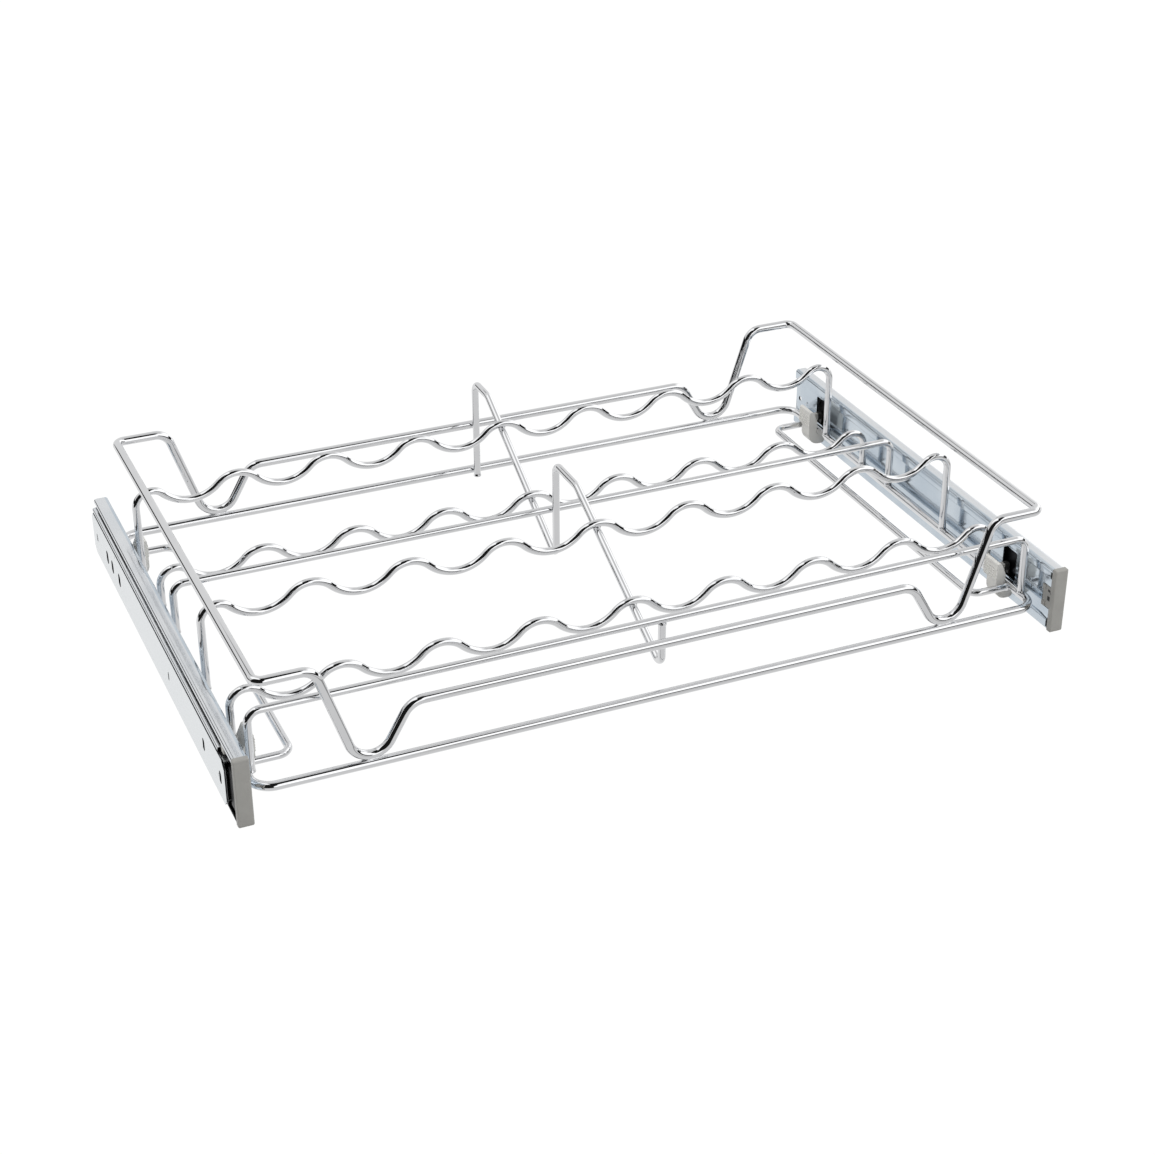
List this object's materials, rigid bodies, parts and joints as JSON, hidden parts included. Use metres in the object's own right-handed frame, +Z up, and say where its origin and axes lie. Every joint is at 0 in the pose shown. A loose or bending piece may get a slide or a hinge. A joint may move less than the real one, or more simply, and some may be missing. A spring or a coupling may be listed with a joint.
{
  "type": "pull-out cabinet rack",
  "caption": "Chromed wire rack with wavy jar rails, a gallery and a centre divider, hooked by clips into full-extension ball-bearing slides that pull it out of a cabinet.",
  "frame": {"origin": "under the middle of the closed rack, level with the lower ends of the slide caps", "axes": "+X to the right across the cabinet, +Y to the rear of the cabinet, +Z up; the rack pulls out along -Y"},
  "size_m": [0.564, 0.354, 0.0918],
  "materials": {
    "chromed_wire": "bright chrome plate",
    "zinc_steel": "bright zinc plate",
    "cage_steel": "thin zinc-plated strip",
    "ball_steel": "polished bearing steel",
    "cap_plastic": "warm grey, satin",
    "clip_plastic": "light warm grey, satin",
    "buffer_plastic": "black, satin",
    "nylon": "natural white"
  },
  "bodies": {
    "cabinet_rails": {"left_cabinet_member": "zinc_steel", "right_cabinet_member": "zinc_steel"},
    "rack": {"base_frame": "chromed_wire", "gallery_rail": "chromed_wire", "rear_upper_jar_rail": "chromed_wire", "rear_lower_jar_rail": "chromed_wire", "front_upper_jar_rail": "chromed_wire", "front_lower_jar_rail": "chromed_wire", "rear_stop_rail": "chromed_wire", "front_stop_rail": "chromed_wire", "centre_divider": "chromed_wire", "right_side_loop": "chromed_wire", "left_side_loop": "chromed_wire", "front_right_clip": "clip_plastic", "rear_right_clip": "clip_plastic", "front_left_clip": "clip_plastic", "rear_left_clip": "clip_plastic", "left_drawer_member": "zinc_steel", "left_end_cap": "cap_plastic", "left_front_buffer": "buffer_plastic", "left_raceway_stop": "nylon", "left_rear_stop": "nylon", "right_drawer_member": "zinc_steel", "right_end_cap": "cap_plastic", "right_front_buffer": "buffer_plastic", "right_raceway_stop": "nylon", "right_rear_stop": "nylon"},
    "left_middle_member_group": {"left_middle_member": "zinc_steel"},
    "left_outer_balls_group": {"left_outer_ball_cage": "cage_steel", "left_outer_balls": "ball_steel"},
    "left_inner_balls_group": {"left_inner_ball_cage": "cage_steel", "left_inner_balls": "ball_steel"},
    "right_middle_member_group": {"right_middle_member": "zinc_steel"},
    "right_outer_balls_group": {"right_outer_ball_cage": "cage_steel", "right_outer_balls": "ball_steel"},
    "right_inner_balls_group": {"right_inner_ball_cage": "cage_steel", "right_inner_balls": "ball_steel"}
  },
  "joints": [
    {"name": "rack_pullout", "type": "slide", "parent": "cabinet_rails", "child": "rack", "axis": [0, -1, 0], "range_m": [0, 0.35]},
    {"name": "left_middle_member_travel", "type": "slide", "parent": "cabinet_rails", "child": "left_middle_member_group", "axis": [0, -1, 0], "range_m": [0, 0.175]},
    {"name": "left_outer_balls_travel", "type": "slide", "parent": "cabinet_rails", "child": "left_outer_balls_group", "axis": [0, -1, 0], "range_m": [0, 0.2625]},
    {"name": "left_inner_balls_travel", "type": "slide", "parent": "cabinet_rails", "child": "left_inner_balls_group", "axis": [0, -1, 0], "range_m": [0, 0.0875]},
    {"name": "right_middle_member_travel", "type": "slide", "parent": "cabinet_rails", "child": "right_middle_member_group", "axis": [0, -1, 0], "range_m": [0, 0.175]},
    {"name": "right_outer_balls_travel", "type": "slide", "parent": "cabinet_rails", "child": "right_outer_balls_group", "axis": [0, -1, 0], "range_m": [0, 0.2625]},
    {"name": "right_inner_balls_travel", "type": "slide", "parent": "cabinet_rails", "child": "right_inner_balls_group", "axis": [0, -1, 0], "range_m": [0, 0.0875]}
  ],
  "couplings": [
    {"joint": "left_middle_member_travel", "follows": "rack_pullout", "ratio": 0.5},
    {"joint": "left_outer_balls_travel", "follows": "rack_pullout", "ratio": 0.75},
    {"joint": "left_inner_balls_travel", "follows": "rack_pullout", "ratio": 0.25},
    {"joint": "right_middle_member_travel", "follows": "rack_pullout", "ratio": 0.5},
    {"joint": "right_outer_balls_travel", "follows": "rack_pullout", "ratio": 0.75},
    {"joint": "right_inner_balls_travel", "follows": "rack_pullout", "ratio": 0.25}
  ]
}
